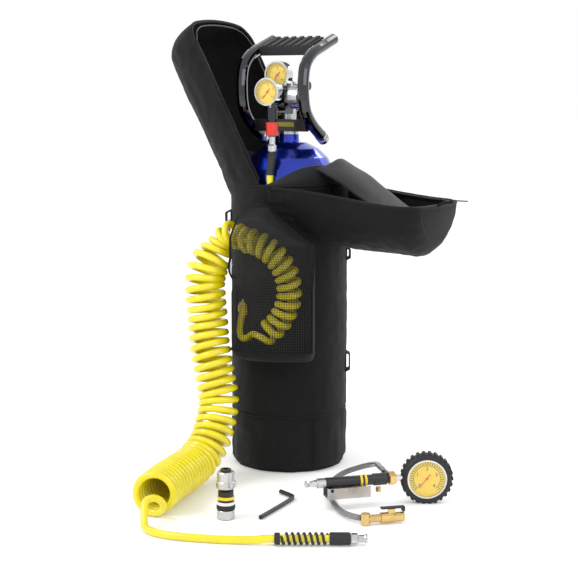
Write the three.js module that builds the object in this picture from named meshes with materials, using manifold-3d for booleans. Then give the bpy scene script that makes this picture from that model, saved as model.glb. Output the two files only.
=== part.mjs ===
// Portable compressed-gas air supply: a cylinder with a regulator and carry handle, standing in a
// soft bag with two fold-back lid halves, with a coiled air hose, a tyre inflator and small tools.
// Millimetres, +Z up. The origin is the centre of the bag's base. The lid halves part along the
// YZ plane, the mesh pocket faces -Y and the carry grip runs along X.
import * as THREE from 'three';
import { mergeVertices } from 'three/addons/utils/BufferGeometryUtils.js';
import Module from 'manifold-3d';

const wasm = await Module();
wasm.setup();

const GAP = 0.3;
const BAG = { radius: 107, wall: 3, base: 4, rim: 530, band: 105 };
const PAD = { radius: 98, thick: 10 };
const TANK = { radius: 87.5, wall: 6, bottom: 15, shoulder: 538, neckZ: 611, neckRadius: 19, top: 622 };
const LID = { length: 340, corner: 42, leftLean: 28, rightFold: 93, fold: 36 };
const RAIL = { x: 65, front: -60, radius: 10.5 };
const HOSE = { radius: 6.25, pocketCoil: 26, hangingCoil: 35 };
const RING = { side: -20, z: 345, radius: 92, from: 272, to: 450, distance: 136 };
const LAYOUT_TURN = 30;
const HINGE_Z = BAG.rim;

const deg = THREE.MathUtils.degToRad;
const V = (x, y, z) => new THREE.Vector3(x, y, z);
const root = new THREE.Group();

// ---------- solids ----------
function bare(geometry) {
  const copy = geometry.index ? geometry.clone() : mergeVertices(geometry.clone());
  copy.deleteAttribute('normal');
  copy.deleteAttribute('uv');
  return outward(mergeVertices(copy, 1e-4));
}

function outward(geometry) {
  const position = geometry.attributes.position;
  const index = geometry.index.array;
  const [a, b, c] = [V(), V(), V()];
  let volume = 0;
  for (let i = 0; i < index.length; i += 3) {
    a.fromBufferAttribute(position, index[i]);
    b.fromBufferAttribute(position, index[i + 1]);
    c.fromBufferAttribute(position, index[i + 2]);
    volume += a.dot(b.cross(c));
  }
  if (volume < 0) {
    for (let i = 0; i < index.length; i += 3) {
      [index[i], index[i + 1]] = [index[i + 1], index[i]];
    }
  }
  return geometry;
}

function solid(geometry) {
  const clean = bare(geometry);
  return new wasm.Manifold(new wasm.Mesh({
    numProp: 3,
    vertProperties: new Float32Array(clean.attributes.position.array),
    triVerts: new Uint32Array(clean.index.array),
  }));
}

function shape(manifold) {
  const mesh = manifold.getMesh();
  const geometry = new THREE.BufferGeometry();
  geometry.setAttribute('position', new THREE.BufferAttribute(mesh.vertProperties, 3));
  geometry.setIndex(new THREE.BufferAttribute(mesh.triVerts, 1));
  return geometry;
}

const join = (...parts) => shape(parts.map(solid).reduce((a, b) => a.add(b)));
const cut = (base, ...tools) => shape(tools.map(solid).reduce((a, b) => a.subtract(b), solid(base)));

function rod(radius, z0, z1, sides = 24) {
  const cylinder = new THREE.CylinderGeometry(radius, radius, z1 - z0, sides);
  return cylinder.rotateX(Math.PI / 2).translate(0, 0, (z0 + z1) / 2);
}

function turned(profile, sides = 24) {
  const points = profile.map(([r, z]) => new THREE.Vector2(r, z));
  return new THREE.LatheGeometry(points, sides).rotateX(Math.PI / 2);
}

const ring = (inner, outer, z0, z1, sides = 24) => turned(
  [[inner, z0], [outer, z0], [outer, z1], [inner, z1], [inner, z0]], sides);

const block = (x0, x1, y0, y1, z0, z1) => new THREE.BoxGeometry(x1 - x0, y1 - y0, z1 - z0)
  .translate((x0 + x1) / 2, (y0 + y1) / 2, (z0 + z1) / 2);

function tube(points, radius, sides, steps) {
  const outline = new THREE.Shape();
  for (let i = 0; i < sides; i += 1) {
    const angle = (2 * Math.PI * i) / sides;
    const [x, y] = [radius * Math.cos(angle), radius * Math.sin(angle)];
    if (i === 0) outline.moveTo(x, y);
    else outline.lineTo(x, y);
  }
  const path = new THREE.CatmullRomCurve3(points, false, 'centripetal');
  return new THREE.ExtrudeGeometry(outline, { steps, extrudePath: path, bevelEnabled: false });
}

// turns a geometry made along +Z so that it runs along direction, starting at origin
function aim(geometry, origin, direction) {
  const turn = new THREE.Quaternion().setFromUnitVectors(V(0, 0, 1), direction.clone().normalize());
  return geometry.applyQuaternion(turn).translate(origin.x, origin.y, origin.z);
}

function add(parent, name, geometry, color, roughness = 0.5, metalness = 0) {
  const finished = bare(geometry);
  finished.computeVertexNormals();
  const material = new THREE.MeshStandardMaterial({ color, roughness, metalness });
  const mesh = new THREE.Mesh(finished, material);
  mesh.name = name;
  parent.add(mesh);
  return mesh;
}

const CHROME = [0xc8ccd2, 0.15, 1];
const DARK_CHROME = [0x23262c, 0.15, 1];
const BRASS = [0xb08a45, 0.3, 1];
const RUBBER = [0x101113, 0.7, 0];
const NYLON = [0x131417, 0.8, 0];
const YELLOW = [0xf2d410, 0.3, 0];
const DIAL = [0xe8cf3c, 0.5, 0];
const GLASS = [0xe8f0f2, 0.05, 0];
const RED = [0xc8201c, 0.35, 0.2];
const BLUE = [0x1530c8, 0.25, 0.7];

// ---------- bag ----------
const polar = (radius, angle, z) => V(radius * Math.cos(deg(angle)), radius * Math.sin(deg(angle)), z);

// the hose's way down the bag wall, out through the eyelet and on to the pocket coil
const hoseLeadRoute = [
  V(14, -93.3, 550.9), V(14, -93.3, 546), polar(95.6, -81, 530), polar(95.7, -84, 500), polar(95.7, -90, 460),
  polar(95.7, -98, 422), polar(95.8, -106, 384), polar(96.8, -110.5, 350), polar(102, -112, 320),
  polar(111, -111, 295), polar(122, -107.5, 273), polar(132, -102.2, 258), polar(RING.distance, -97.4, 253.1),
];

// a point of the pocket coil's ring, laid on the bag's wall: side is the arc length from -Y
function ringPoint(turnAngle) {
  const side = RING.side + RING.radius * Math.cos(deg(turnAngle));
  const z = RING.z + RING.radius * Math.sin(deg(turnAngle));
  return polar(RING.distance, -90 + THREE.MathUtils.radToDeg(side / RING.distance), z);
}

function pocketCoilRoute() {
  const points = [];
  for (let angle = RING.from; angle <= RING.to; angle += 22.25) points.push(ringPoint(angle));
  return [...points, polar(137, -108, 446), polar(139, -116, 437), V(-75, -128.5, 416)];
}

function bagBody() {
  const { radius, wall, base, rim } = BAG;
  const cup = turned([[0, 0], [radius, 0], [radius, rim], [radius - wall, rim],
    [radius - wall, base], [0, base]], 44);
  const hole = tube(hoseLeadRoute.slice(4), HOSE.radius + 1.7, 12, 12);
  return cut(cup, hole);
}

function eyelet() {
  const disc = aim(rod(15, 0, 3.6, 24), polar(BAG.radius - 1, -111.3, 302), polar(1, -111.3, 0));
  return cut(disc, rod(BAG.radius + GAP, 250, 450, 44), tube(hoseLeadRoute.slice(4), HOSE.radius + 0.5, 12, 12));
}

// the closed lid pair's outer or inner solid: a cylinder with a rounded top edge
function lidCore(inset) {
  const radius = BAG.radius - inset;
  const top = HINGE_Z + LID.length - inset;
  const corner = LID.corner - inset;
  const profile = [[0, HINGE_Z - 1], [radius, HINGE_Z - 1]];
  for (let angle = 0; angle <= 90; angle += 22.5) {
    profile.push([radius - corner + corner * Math.cos(deg(angle)), top - corner + corner * Math.sin(deg(angle))]);
  }
  return turned([...profile, [0, top]], 44);
}

// one lid half, turned about the line through the zip's ends and cut clear of the bag below it
function lidHalf(side, turn) {
  const far = 400;
  const half = block(Math.min(side, side * far), Math.max(side, side * far), -far, far, 0, 3 * far);
  const shell = shape(solid(lidCore(0)).subtract(solid(lidCore(BAG.wall))).intersect(solid(half)));
  shell.translate(0, 0, -HINGE_Z).rotateY(deg(side * turn)).translate(0, 0, HINGE_Z);
  return cut(shell, rod(BAG.radius + 1.2, 0, HINGE_Z + 1, 44));
}

// the folded lid wall that stands on the rim as a crescent
function lidFold() {
  const collar = ring(BAG.radius - BAG.wall, BAG.radius, HINGE_Z + GAP, HINGE_Z + LID.fold, 44);
  const wedge = new THREE.BoxGeometry(400, 400, 200).translate(0, 0, 100);
  wedge.rotateY(-Math.atan2(LID.fold, BAG.radius + 8)).translate(0, 0, HINGE_Z + 1.5);
  return cut(collar, wedge, block(-200, 12, -200, 200, 400, 700));
}

// a bent sheet: a flat grid of a box mapped by place(u, v, depth)
function sheet(columns, rows, place) {
  const geometry = new THREE.BoxGeometry(1, 1, 1, columns, rows, 1);
  const position = geometry.attributes.position;
  for (let i = 0; i < position.count; i += 1) {
    const point = place(position.getX(i) + 0.5, position.getY(i) + 0.5, position.getZ(i) + 0.5);
    position.setXYZ(i, point.x, point.y, point.z);
  }
  return geometry;
}

const POCKET = { bottom: 212, top: 516, left: -36, right: 51, depth: 58, skin: 1.5, mouth: 335 };

function pocketSkin() {
  const ramp = (distance, width) => Math.sqrt(1 - (1 - Math.min(Math.max(distance / width, 0), 1)) ** 2);
  const smooth = (value) => value * value * (3 - 2 * value);
  return sheet(22, 16, (u, v, depth) => {
    const z = POCKET.bottom + (POCKET.top - POCKET.bottom) * v;
    const rise = smooth(Math.min(Math.max((z - POCKET.mouth) / 75, 0), 1));
    const narrow = Math.max((z - 440) / (POCKET.top - 440), 0);
    const left = POCKET.left + 26 * rise + 12 * narrow;
    const underLid = THREE.MathUtils.radToDeg(Math.asin(Math.min((522 - z) / (BAG.radius + 11), 1))) - 1;
    const right = Math.min(POCKET.right, underLid);
    const angle = left + (right - left) * u;
    const leftRamp = 1 - (1 - smooth(Math.min((u * (right - left)) / 34, 1))) * (1 - rise);
    const top = 1 - smooth(Math.min(Math.max((z - 474) / 40, 0), 1));
    const bulge = POCKET.depth * leftRamp * ramp((1 - u) * (right - left), 11) * ramp(z - POCKET.bottom, 24) * top;
    return polar(BAG.radius + GAP + bulge + POCKET.skin * depth, -90 + angle, z);
  });
}

function webLoop(angle, z, height, reach, width) {
  const outline = new THREE.Shape();
  outline.moveTo(0, -height / 2);
  outline.lineTo(reach, -height / 2 + reach * 0.5);
  outline.lineTo(reach, height / 2 - reach * 0.5);
  outline.lineTo(0, height / 2);
  outline.closePath();
  const inner = new THREE.Path();
  const margin = 2;
  inner.moveTo(margin, -height / 2 + 2.2 * margin);
  inner.lineTo(reach - margin, -height / 2 + reach * 0.5 + margin);
  inner.lineTo(reach - margin, height / 2 - reach * 0.5 - margin);
  inner.lineTo(margin, height / 2 - 2.2 * margin);
  inner.closePath();
  outline.holes.push(inner);
  const loop = new THREE.ExtrudeGeometry(outline, { depth: width, bevelEnabled: false, steps: 1 });
  loop.translate(BAG.radius + GAP, 0, -width / 2).rotateX(Math.PI / 2).rotateZ(deg(angle)).translate(0, 0, z);
  return cut(loop, rod(BAG.radius + GAP, z - 60, z + 60, 88));
}

function dRing(angle, z) {
  const [half, drop, wire] = [20, 26, 3.6];
  const outline = new THREE.Shape();
  outline.moveTo(half, 0).lineTo(-half, 0).absellipse(0, 0, half, drop, Math.PI, 2 * Math.PI, false);
  const hole = new THREE.Path();
  hole.moveTo(half - wire, -wire).lineTo(wire - half, -wire);
  hole.absellipse(0, -wire, half - wire, drop - 2 * wire, Math.PI, 2 * Math.PI, false);
  outline.holes.push(hole);
  const geometry = new THREE.ExtrudeGeometry(outline, { depth: wire, bevelEnabled: false, curveSegments: 10 });
  geometry.translate(0, wire / 2, -wire / 2).rotateX(Math.PI / 2).rotateZ(Math.PI / 2);
  return geometry.translate(BAG.radius + 6.3, 0, 0).rotateZ(deg(angle)).translate(0, 0, z);
}

function buildBag() {
  add(root, 'bag_body', bagBody(), ...NYLON);
  add(root, 'bottom_band', ring(BAG.radius + GAP, BAG.radius + 2, 3, BAG.band, 44), ...NYLON);
  add(root, 'base_pad', rod(PAD.radius, BAG.base + GAP, BAG.base + GAP + PAD.thick, 32), ...RUBBER);
  add(root, 'left_lid', lidHalf(-1, LID.leftLean), ...NYLON);
  add(root, 'right_lid', lidHalf(1, LID.rightFold), ...NYLON);
  add(root, 'right_lid_fold', lidFold(), ...NYLON);
  add(root, 'mesh_pocket', pocketSkin(), ...NYLON);
  add(root, 'hose_eyelet', eyelet(), ...RUBBER);
  add(root, 'strap_loop', webLoop(-153, 465, 34, 12, 28), ...NYLON);
  add(root, 'd_ring', dRing(-153, 459), ...DARK_CHROME);
  add(root, 'side_tab_upper', webLoop(33, 398, 26, 9, 24), ...NYLON);
  add(root, 'side_tab_lower', webLoop(30, 192, 40, 9, 24), ...NYLON);
  const pull = join(rod(3.4, 0, 3, 12), block(-2, 2, 3, 28, 0.6, 2.6));
  const end = V(LID.length + 8, 0, 0);
  add(root, 'zip_pull', pull.rotateZ(deg(-100)).translate(end.x - 5, -20, HINGE_Z - 19), ...DARK_CHROME);
}

// ---------- cylinder, valve and regulator ----------
function buildTank() {
  const { radius, wall, bottom, shoulder, neckZ, neckRadius, top } = TANK;
  const dome = (inset) => {
    const points = [];
    for (let angle = 0; angle <= 68; angle += 17) {
      const rise = (neckZ - shoulder - inset) * 1.02 * Math.sin(deg(angle));
      points.push([(radius - inset) * Math.cos(deg(angle)), shoulder + rise]);
    }
    return points;
  };
  const outer = [[0, bottom], [radius - 22, bottom], [radius - 6, bottom + 6], [radius, bottom + 22],
    ...dome(0), [neckRadius, neckZ - 2], [neckRadius, top]];
  const inner = [[12, top], [12, neckZ - wall - 4], ...dome(wall).reverse(),
    [radius - wall, bottom + 24], [radius - 24, bottom + wall], [0, bottom + wall]];
  add(root, 'gas_cylinder', turned([...outer, ...inner], 36), ...BLUE);
}

const VALVE = { radius: 14, z0: 622.3, z1: 722, wheelZ: 668, wheelRadius: 22 };
const REGULATOR = { x0: -16, x1: 20, y0: -52, y1: -19, z0: 660, z1: 704 };
const COUPLER = { x: 15, y: -87, shoulder: 650, end: 620 };

function buildValve() {
  const nipple = aim(rod(7, 0, 8, 16), V(2, -10.7, 682), V(0, -1, 0));
  const stem = aim(rod(5, 0, 20, 16), V(0, 12, VALVE.wheelZ), V(0, 1, 0));
  const bleed = aim(rod(4, 0, 17, 12), V(12.7, -3, 711), V(1, 0, 0));
  const body = turned([[0, VALVE.z0], [18, VALVE.z0], [18, 634], [VALVE.radius, 638],
    [VALVE.radius, VALVE.z1 - 3], [VALVE.radius - 3, VALVE.z1], [0, VALVE.z1]], 24);
  add(root, 'cylinder_valve', join(body, nipple, stem, bleed), ...BRASS);
  const rim = ring(VALVE.wheelRadius - 6, VALVE.wheelRadius, 0, 11, 24);
  const spoke = block(-VALVE.wheelRadius + 3, VALVE.wheelRadius - 3, -4, 4, 1.5, 7);
  const hub = rod(8, 0, 9, 16);
  const wheel = join(rim, spoke, spoke.clone().rotateZ(Math.PI / 2), hub);
  add(root, 'valve_handwheel', aim(wheel, V(0, 32.3, VALVE.wheelZ), V(0, 1, 0)), ...RUBBER);
  add(root, 'bleed_knob', aim(rod(8, 0, 15, 14), V(30, -3, 711), V(1, 0, 0)), ...RUBBER);
}

function buildRegulator() {
  const r = REGULATOR;
  const body = join(block(r.x0, r.x1, r.y0, r.y1, r.z0, r.z1),
    aim(rod(18, 0, 5, 24), V(r.x0 - 5, -36, 684), V(1, 0, 0)));
  add(root, 'regulator_body', body, ...DARK_CHROME);
  const bonnet = turned([[0, 0], [15, 0], [15, 4], [21, 7], [21, 26], [18, 28], [8, 28], [8, 23], [0, 23]], 28);
  add(root, 'regulator_bonnet', aim(bonnet, V(r.x1 + GAP, -34, 690), V(1, 0, 0)), ...CHROME);
  const arm = aim(rod(8, 0, 34, 16), V(COUPLER.x, r.y0 - GAP, 666), V(0, -1, 0));
  const drop = turned([[0, COUPLER.end], [7.6, COUPLER.end], [7.6, COUPLER.shoulder],
    [9.5, COUPLER.shoulder], [9.5, 672], [8, 676], [0, 676]], 20).translate(COUPLER.x, COUPLER.y, 0);
  add(root, 'outlet_coupler', join(arm, drop), ...DARK_CHROME);
  const sleeve = ring(8, 11.5, COUPLER.end + 2, COUPLER.shoulder - 4.5, 20);
  add(root, 'coupler_sleeve', sleeve.translate(COUPLER.x, COUPLER.y, 0), ...RED);
}

// a round dial gauge facing -Y in its own frame, with its face at the origin
function gauge(parent, prefix, radius, depth, stem, needleTurn) {
  const wall = 2.5;
  const cup = turned([[0, -depth], [radius - 4, -depth], [radius, -depth + 4], [radius, 0],
    [radius - wall, 0], [radius - wall, -6.5], [0, -6.5]], 28);
  const turn = (geometry) => geometry.rotateX(Math.PI / 2);
  add(parent, `${prefix}_case`, join(turn(cup), stem), ...CHROME);
  add(parent, `${prefix}_dial`, turn(rod(radius - wall - GAP, -6.2, -5.4, 28)), ...DIAL);
  const pointer = join(rod(2.2, -5, -3.6, 12), block(-0.7, 0.7, -radius * 0.3, radius * 0.62, -4.7, -4));
  add(parent, `${prefix}_needle`, turn(pointer.rotateZ(deg(needleTurn))), ...RED);
  add(parent, `${prefix}_lens`, turn(rod(radius - wall - GAP, -2.6, -1.1, 28)), ...GLASS);
}

function buildGauges() {
  const low = new THREE.Group();
  low.position.set(-3, -78, 700);
  root.add(low);
  gauge(low, 'low_gauge', 25, 23.5, aim(rod(5, 0, 4, 14), V(0, 21.7, -8), V(0, 1, 0)), 140);
  const high = new THREE.Group();
  high.position.set(0, -47, 731);
  root.add(high);
  gauge(high, 'high_gauge', 25, 23, aim(rod(5, 0, 8, 14), V(0, 12, -26.7), V(0, 0, 1)), 140);
}

// ---------- carry handle ----------
function rail(x) {
  const points = [V(x, 2, 622), V(x, -30, 642), V(x, -52, 664), V(x, RAIL.front, 690), V(x, RAIL.front, 728),
    V(x, -52, 750), V(x, -30, 768), V(x, 10, 783), V(x, 52, 797)];
  return tube(points, RAIL.radius, 12, 30);
}

function buildHandle() {
  for (const [name, side] of [['left', -1], ['right', 1]]) {
    add(root, `rail_${name}`, rail(side * RAIL.x), ...DARK_CHROME);
    const cap = turned([[0, 0], [11, 0], [11, 5], [9.6, 5], [9.6, 9], [11, 9], [11, 17], [0, 17]], 20);
    add(root, `rail_cap_${name}`, aim(cap, V(side * RAIL.x, 2.5, 621.4), V(0, 32, -20)), ...CHROME);
  }
  const slope = Math.atan2(14, 42);
  const plate = block(-RAIL.x + 11.5, RAIL.x - 11.5, -28, 30, -8, 9);
  const ribs = [-42, -25, -8, 9, 26, 43].map((x) => block(x - 4, x + 4, -28, 30, 8, 11.5));
  const grip = join(plate, ...ribs).rotateX(slope).translate(0, 10, 783);
  add(root, 'carry_grip', grip, ...RUBBER);
  const beam = join(block(-RAIL.x + 11, RAIL.x - 11, -34, -22, 628, 650), block(-30, 30, -30, 30, 628, 636));
  const bracket = cut(beam, rod(TANK.neckRadius + 1, 600, 700, 24),
    block(-40, 40, -19, 40, 637, 700));
  add(root, 'base_bracket', bracket, ...RUBBER);
}

// ---------- air hose ----------
const layout = new THREE.Group();
layout.rotation.z = deg(LAYOUT_TURN);
root.add(layout);

// a point of the floor layout, in the part's own axes: along the layout line and out in front of it
function laid(along, out, z) {
  return V(along, -out, z).applyAxisAngle(V(0, 0, 1), deg(LAYOUT_TURN));
}

const hangingRoute = [
  V(-77, -131, 410), V(-87, -143, 386), V(-92, -149, 360), V(-89, -152, 328), V(-84, -153, 287),
  V(-78, -158, 249), V(-69, -162, 213), V(-60, -164, 176), V(-51, -169, 140), V(-48, -184, 106),
  V(-47, -206, 74), V(-50, -234, 49), V(-48, -266, 40), laid(-190, 250, 39), laid(-212, 320, 39),
  laid(-235, 416, 39),
];

const tailRoute = [
  laid(-238, 419, 6.6), laid(-232, 448, 6.5), laid(-217, 470, 6.5), laid(-196, 485, 6.5),
  laid(-170, 495, 6.5), laid(-142, 502, 6.5), laid(-112, 508, 6.5), laid(-82, 512, 6.8),
  laid(-55, 516, 8.3), laid(-36, 517, 10.2), laid(-24, 517, 10.5),
];

function hoseEnd(parent) {
  const relief = turned([[0, 0], [9, 0], [9, 10], [10.2, 13], [10.2, 90], [9.2, 92], [9.2, 120], [0, 120]], 16);
  add(parent, 'hose_end_relief', aim(relief, V(-23, -517, 10.5), V(1, 0, 0)), ...RUBBER);
  const nipple = turned([[0, 0], [9.2, 0], [9.2, 9], [6, 11], [6, 20], [7, 22], [7, 25], [3, 25], [3, 12], [0, 12]], 12);
  add(parent, 'hose_end_fitting', aim(nipple, V(97.3, -517, 10.5), V(1, 0, 0)), ...CHROME);
}

function buildHose() {
  const plug = turned([[0, 591.6], [6.5, 591.6], [8, 594], [8, 604], [5.5, 606], [5.5, COUPLER.end - GAP],
    [0, COUPLER.end - GAP]], 12).translate(COUPLER.x, COUPLER.y, 0);
  add(root, 'hose_plug', plug, ...CHROME);
  const reliefRoute = [V(COUPLER.x, COUPLER.y, 591.2), V(COUPLER.x, COUPLER.y, 586), V(14.8, -89, 576), V(14.2, -92, 562), V(14, -93.3, 556), V(14, -93.3, 551.3)];
  add(root, 'hose_inlet_relief', tube(reliefRoute, 7.6, 12, 5), ...RUBBER);
  const pocketCoil = (clearance) => tube(pocketCoilRoute(), HOSE.pocketCoil + clearance, 12, 26);
  const hangingCoil = (clearance) => tube(hangingRoute, HOSE.hangingCoil + clearance, 12, 34);
  add(root, 'hose_lead', cut(tube(hoseLeadRoute, HOSE.radius, 8, 22), pocketCoil(GAP)), ...YELLOW);
  add(root, 'pocket_coil', cut(pocketCoil(0), hangingCoil(GAP)), ...YELLOW);
  add(root, 'hanging_coil', hangingCoil(0), ...YELLOW);
  add(root, 'hose_tail', cut(tube(tailRoute, HOSE.radius, 8, 22), hangingCoil(GAP)), ...YELLOW);
  hoseEnd(layout);
}

// ---------- loose tools ----------
function buildSpareCoupler() {
  const place = new THREE.Group();
  place.position.set(-104.5, -378, 0);
  layout.add(place);
  const body = turned([[0, 0], [14, 0], [14, 12], [11.5, 14], [11.5, 22], [13, 24], [13, 47], [9, 48], [9, 84],
    [5.5, 84], [5.5, 40], [0, 40]], 18);
  add(place, 'spare_coupler_body', body, ...CHROME);
  const sleeve = turned([[9.4, 52], [15.5, 52], [16.5, 55], [16.5, 62], [14.5, 64], [14.5, 78], [13, 80],
    [9.4, 80], [9.4, 52]], 24);
  add(place, 'spare_coupler_sleeve', sleeve, ...CHROME);
}

function buildHexKey() {
  const half = 4;
  const corner = V(10, -270, half);
  const [from, to] = [V(-47, -387, half), V(-15, -237, half)];
  const near = (end, share) => corner.clone().lerp(end, share);
  const points = [from, near(from, 0.12), near(from, 0.04).lerp(near(to, 0.12), 0.5), near(to, 0.35), to];
  const key = tube(points, half, 6, 14);
  add(layout, 'hex_key', key, ...RUBBER);
}

const INFLATOR = { along: 27, out: 336, z: 45, turn: 14.8, gaugeX: 212, gaugeY: -6.5, gaugeRadius: 34, boot: 43 };

function inflatorBody() {
  const along = (profile, x) => aim(turned(profile, 16), V(x, 0, 0), V(1, 0, 0));
  const barrel = along([[0, 0], [9, 0], [9, 84], [10.5, 86], [10.5, 108], [7.5, 110], [8.5, 112], [8.5, 124],
    [0, 124]], 35.3);
  const port = aim(rod(6.5, 0, 20, 12), V(148, 6, 2), V(0.15, 1, 0));
  const pivot = aim(rod(3, 0, 22, 10), V(44, -11, -11), V(0, 1, 0));
  const lug = block(40, 48, -4, 4, -14, -6);
  return join(barrel, port, pivot, lug);
}

function buildInflator() {
  const tool = new THREE.Group();
  tool.position.set(INFLATOR.along, -INFLATOR.out, INFLATOR.z);
  tool.rotation.z = deg(INFLATOR.turn);
  layout.add(tool);
  const plug = turned([[0, 0], [5, 0], [6, 3], [4.5, 7], [4.5, 12], [6, 15], [6, 20], [8.5, 21], [8.5, 35], [0, 35]], 14);
  add(tool, 'inflator_plug', aim(plug, V(0, 0, 0), V(1, 0, 0)), ...CHROME);
  add(tool, 'inflator_body', inflatorBody(), ...RUBBER);
  const channel = cut(block(36, 112, -14, 14, -26, -7.2), block(35, 113, -12, 12, -23.6, 0),
    aim(rod(3.1, -20, 20, 12), V(44, 0, -11), V(0, 1, 0)));
  add(tool, 'inflator_lever', channel, ...CHROME);
  const button = aim(rod(4.5, 0, 8, 12), V(130, 0, -13.6), V(0, 0, -1));
  add(tool, 'bleed_button', button, ...BRASS);
  const face = new THREE.Group();
  face.position.set(INFLATOR.gaugeX, INFLATOR.gaugeY - 12, -1.8);
  face.rotation.z = deg(-INFLATOR.turn);
  tool.add(face);
  const stem = aim(rod(6, 0, 30, 12), V(-54.4, 4.8, 1.8), V(35, 14, 0));
  gauge(face, 'inflator_gauge', INFLATOR.gaugeRadius, 24, stem, 140);
  const boot = cut(turned([[34.3, -22], [INFLATOR.boot - 2, -22], [INFLATOR.boot, -19], [INFLATOR.boot, -4],
    [INFLATOR.boot - 4, 0], [34.3, 0], [34.3, -22]], 28).rotateX(Math.PI / 2),
    aim(rod(6.6, 0, 40, 12), V(-54.4, 4.8, 1.8), V(35, 14, 0)));
  add(face, 'inflator_gauge_boot', boot, ...RUBBER);
  return tool;
}

const braidedRoute = [
  laid(166.3, 271.9, 47), laid(164.1, 252, 47), laid(160, 225, 45), laid(158, 190, 40), laid(149, 155, 30),
  laid(130, 133, 19), laid(106, 133, 11), laid(87, 155, 6.5), laid(76, 195, 5.3), laid(72, 245, 5.3),
  laid(74, 295, 5.3), laid(82, 340, 5.3), laid(94, 375, 6.5), laid(108, 399, 8.8), laid(119, 410.5, 10),
];

function buildChuck() {
  const elbow = laid(125, 415, 0);
  const socket = rod(8.4, -5, 30, 14).translate(elbow.x, elbow.y, 0);
  add(root, 'braided_hose', cut(tube(braidedRoute, 5, 8, 30), socket), 0x9aa0a8, 0.35, 0.8);
  const chuck = new THREE.Group();
  chuck.position.set(125, -415, 10);
  chuck.rotation.z = deg(13.6);
  layout.add(chuck);
  const body = join(rod(8, -9, 9, 14), aim(rod(6.5, 0, 22, 12), V(4, 0, 0), V(1, 0, 0)),
    aim(turned([[0, 0], [9, 0], [9, 22], [8, 24], [8, 40], [4, 40], [4, 30], [0, 30]], 12), V(25, 0, 0), V(1, 0, 0)),
    block(38, 50, -3, 3, 6, 14));
  add(chuck, 'tyre_chuck', body, ...BRASS);
  const clip = join(block(26, 66, -5, 5, 15.2, 17.4), block(62, 66, -5, 5, 9.6, 16));
  add(chuck, 'chuck_lever', clip, ...RUBBER);
}

buildBag();
buildTank();
buildValve();
buildRegulator();
buildGauges();
buildHandle();
buildHose();
buildSpareCoupler();
buildHexKey();
buildInflator();
buildChuck();

root.updateMatrixWorld(true);

export default root;
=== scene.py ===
"""Portable compressed-gas air pack: the looks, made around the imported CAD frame. Metres, +Z up."""
import math

import bmesh
import bpy
from mathutils import Matrix, Vector, noise


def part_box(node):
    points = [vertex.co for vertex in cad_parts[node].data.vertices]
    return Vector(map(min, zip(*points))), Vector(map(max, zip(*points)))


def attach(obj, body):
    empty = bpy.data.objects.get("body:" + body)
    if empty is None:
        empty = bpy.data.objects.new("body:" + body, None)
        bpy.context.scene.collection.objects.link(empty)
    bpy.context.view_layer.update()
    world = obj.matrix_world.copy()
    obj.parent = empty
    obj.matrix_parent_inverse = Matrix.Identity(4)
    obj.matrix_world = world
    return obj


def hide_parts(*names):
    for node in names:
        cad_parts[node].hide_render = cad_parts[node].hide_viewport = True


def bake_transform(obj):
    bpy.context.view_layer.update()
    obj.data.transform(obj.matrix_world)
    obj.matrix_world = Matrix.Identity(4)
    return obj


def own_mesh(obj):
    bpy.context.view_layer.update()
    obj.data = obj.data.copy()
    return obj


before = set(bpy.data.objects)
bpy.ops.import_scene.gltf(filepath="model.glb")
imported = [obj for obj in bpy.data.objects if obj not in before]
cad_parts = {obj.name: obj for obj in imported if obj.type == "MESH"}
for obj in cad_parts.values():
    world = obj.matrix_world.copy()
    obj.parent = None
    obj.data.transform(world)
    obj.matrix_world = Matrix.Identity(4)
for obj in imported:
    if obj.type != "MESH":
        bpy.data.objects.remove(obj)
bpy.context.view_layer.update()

MM = 0.001
BAG_RADIUS = 0.107
RIM_Z = 0.53
BAND_TOP = 0.105
LID_LENGTH = 0.34
LID_CORNER = 0.042
LEFT_LEAN = math.radians(28)
RIGHT_FOLD = math.radians(93)
FOLD_HEIGHT = 0.036
LID_BUNCH = 0.91
LAYOUT_TURN = math.radians(30)
VIEW_TURN = math.radians(30)
VIEW_PITCH = math.radians(8.1)
VIEW_DISTANCE = 2.6
VIEW_HEIGHT = 0.70
SENSOR_WIDTH = 36
FOCAL_SHARE = 1385 / 578
FLOOR_HALF = 30
FLOOR_Z = -0.0005
HOSE_RADIUS = 0.00625
# from the coils in view: 18 turns in the pocket, 24 hanging and 14 on the floor, with the lead and the tail
POCKET_COIL_RADIUS = 0.0185
FREE_COIL_RADIUS = 0.033
COIL_PITCH = 0.0178
FLOOR_PITCH_DROP = 0.0047
# near both ends of the coiled run the helix opens out, over COIL_END metres, at END_PITCH
COIL_END = 0.045
END_PITCH = 0.11
BRAIDED_DIAMETER = 0.010
DATA = bpy.data


# ---------------------------------------------------------------- camera, light and floor
def make_camera():
    data = DATA.cameras.new("camera")
    camera = DATA.objects.new("camera", data)
    bpy.context.collection.objects.link(camera)
    camera.location = (VIEW_DISTANCE * math.sin(VIEW_TURN), -VIEW_DISTANCE * math.cos(VIEW_TURN), VIEW_HEIGHT)
    camera.rotation_euler = (math.pi / 2 - VIEW_PITCH, 0, VIEW_TURN)
    data.sensor_width = SENSOR_WIDTH
    data.lens = SENSOR_WIDTH * FOCAL_SHARE
    bpy.context.scene.camera = camera


def area_light(name, location, target, size, power):
    data = DATA.lights.new(name, "AREA")
    data.shape = "DISK"
    data.size = size
    data.energy = power
    lamp = DATA.objects.new(name, data)
    bpy.context.collection.objects.link(lamp)
    lamp.location = location
    aim = Vector(target) - Vector(location)
    lamp.rotation_euler = aim.to_track_quat("-Z", "Y").to_euler()


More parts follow.
